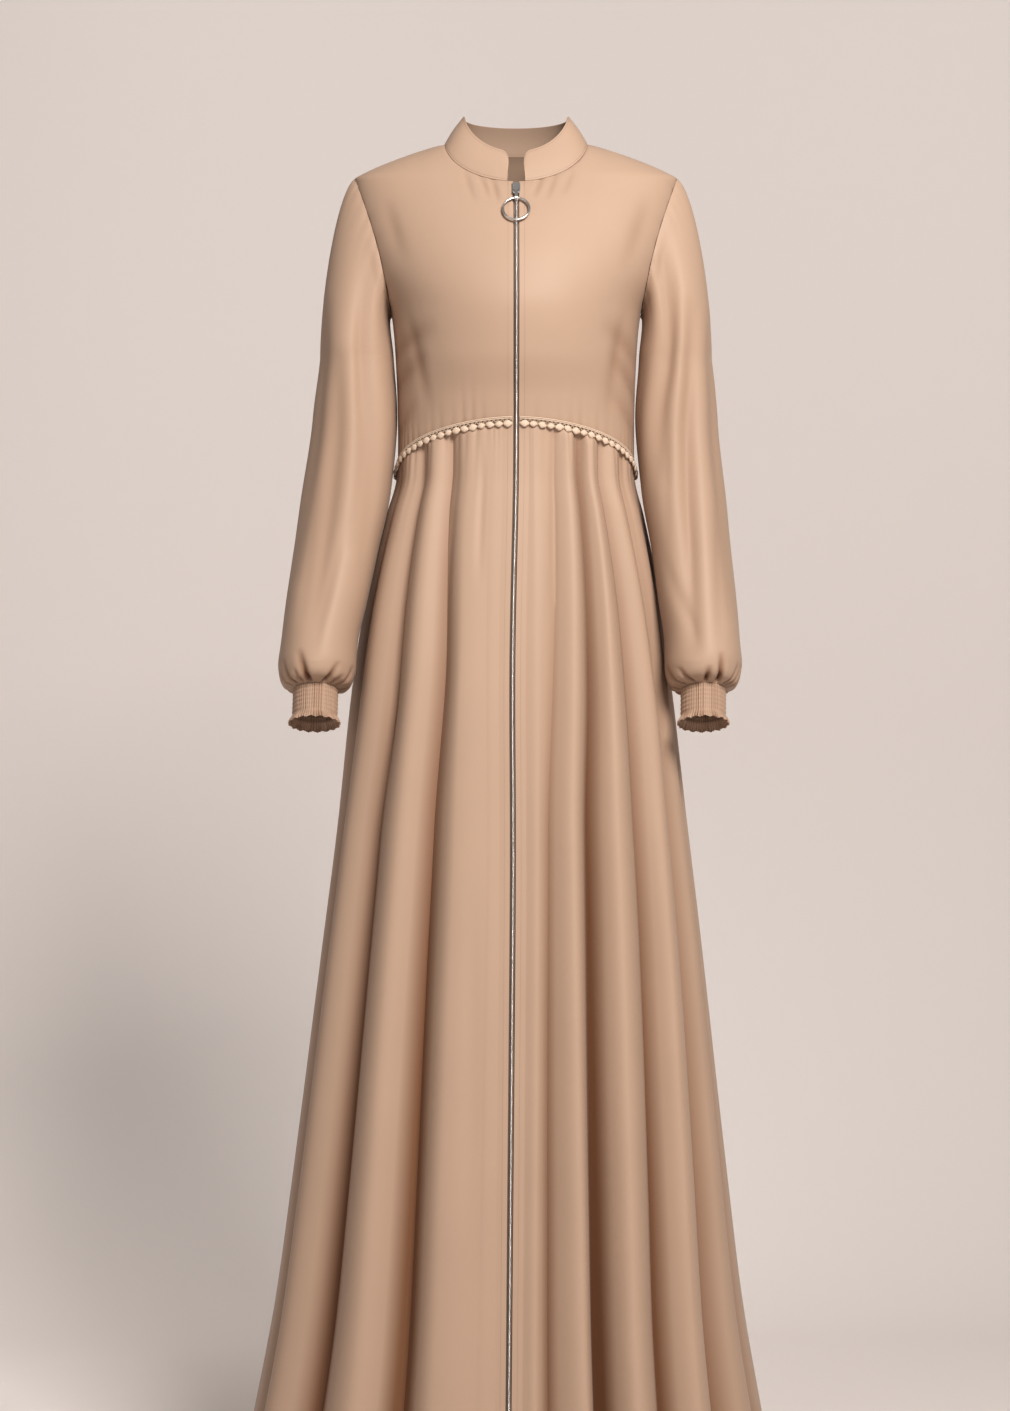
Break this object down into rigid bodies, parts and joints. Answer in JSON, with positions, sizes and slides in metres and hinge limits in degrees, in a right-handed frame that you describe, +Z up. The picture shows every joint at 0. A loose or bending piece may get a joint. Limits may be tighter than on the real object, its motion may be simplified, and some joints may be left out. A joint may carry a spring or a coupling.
{
  "type": "zip-front abaya",
  "caption": "Full-length zip-front abaya in its worn, hollow form, with stand collar, bead-trimmed raised waist, flared skirt, bishop sleeves with shirred cuffs and a ring pull.",
  "frame": {"origin": "middle of the neck opening, level with the two points where the collar meets the shoulder seams", "axes": "+Z up, -Y towards the garment's front, +X towards the wearer's left"},
  "size_m": [0.6026, 0.5207, 1.5317],
  "materials": {
    "crepe": "smooth satin-faced crepe with a soft sheen",
    "trim_yarn": "matte crochet bead trim",
    "zip_tape": "woven zip tape with metal teeth",
    "metal": "polished silver-coloured metal"
  },
  "bodies": {
    "garment": {"collar": "crepe", "bodice_front_left": "crepe", "bodice_front_right": "crepe", "bodice_back": "crepe", "skirt_front_left": "crepe", "skirt_front_right": "crepe", "skirt_back": "crepe", "sleeve_left": "crepe", "sleeve_right": "crepe", "cuff_left": "crepe", "cuff_right": "crepe", "trim_front_left": "trim_yarn", "trim_front_right": "trim_yarn", "trim_back": "trim_yarn", "zip_tape": "zip_tape", "zip_slider": "metal"},
    "pull_link": {"pull_link": "metal"},
    "pull_ring": {"pull_ring": "metal"}
  },
  "joints": [
    {"name": "link_swing", "type": "hinge", "parent": "garment", "child": "pull_link", "pos_m": [0, -0.07853, -0.06661], "axis": [-1, 0, 0], "range_deg": [0, 110]},
    {"name": "ring_swing", "type": "hinge", "parent": "pull_link", "child": "pull_ring", "pos_m": [0, -0.0823, -0.07367], "axis": [-1, 0, 0], "range_deg": [0, 70]}
  ]
}
